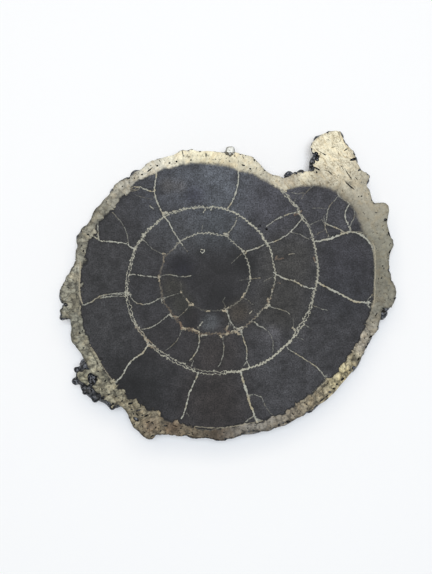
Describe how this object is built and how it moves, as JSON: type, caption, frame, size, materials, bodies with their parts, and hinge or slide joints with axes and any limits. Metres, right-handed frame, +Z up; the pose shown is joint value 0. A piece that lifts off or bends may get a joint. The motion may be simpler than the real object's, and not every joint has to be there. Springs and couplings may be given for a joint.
{
  "type": "ammonite fossil half",
  "caption": "Flat, sawn and polished half of a coiled ammonite, with a ragged mineral rim, a broken horn at the mouth and a ribbed, knobbly natural back.",
  "frame": {"origin": "on the surface it rests on, under the middle of its bounding box", "axes": "+Z up, out of the polished face; +X across the coil towards the last chamber; +Y towards the horn's side"},
  "size_m": [0.1356, 0.1242, 0.022],
  "materials": {
    "fossil_stone": "dark mineral, polished on the sawn face with cream and brassy veins and rim, charcoal crust elsewhere"
  },
  "bodies": {
    "root": {"ammonite_half": "fossil_stone"}
  },
  "joints": []
}
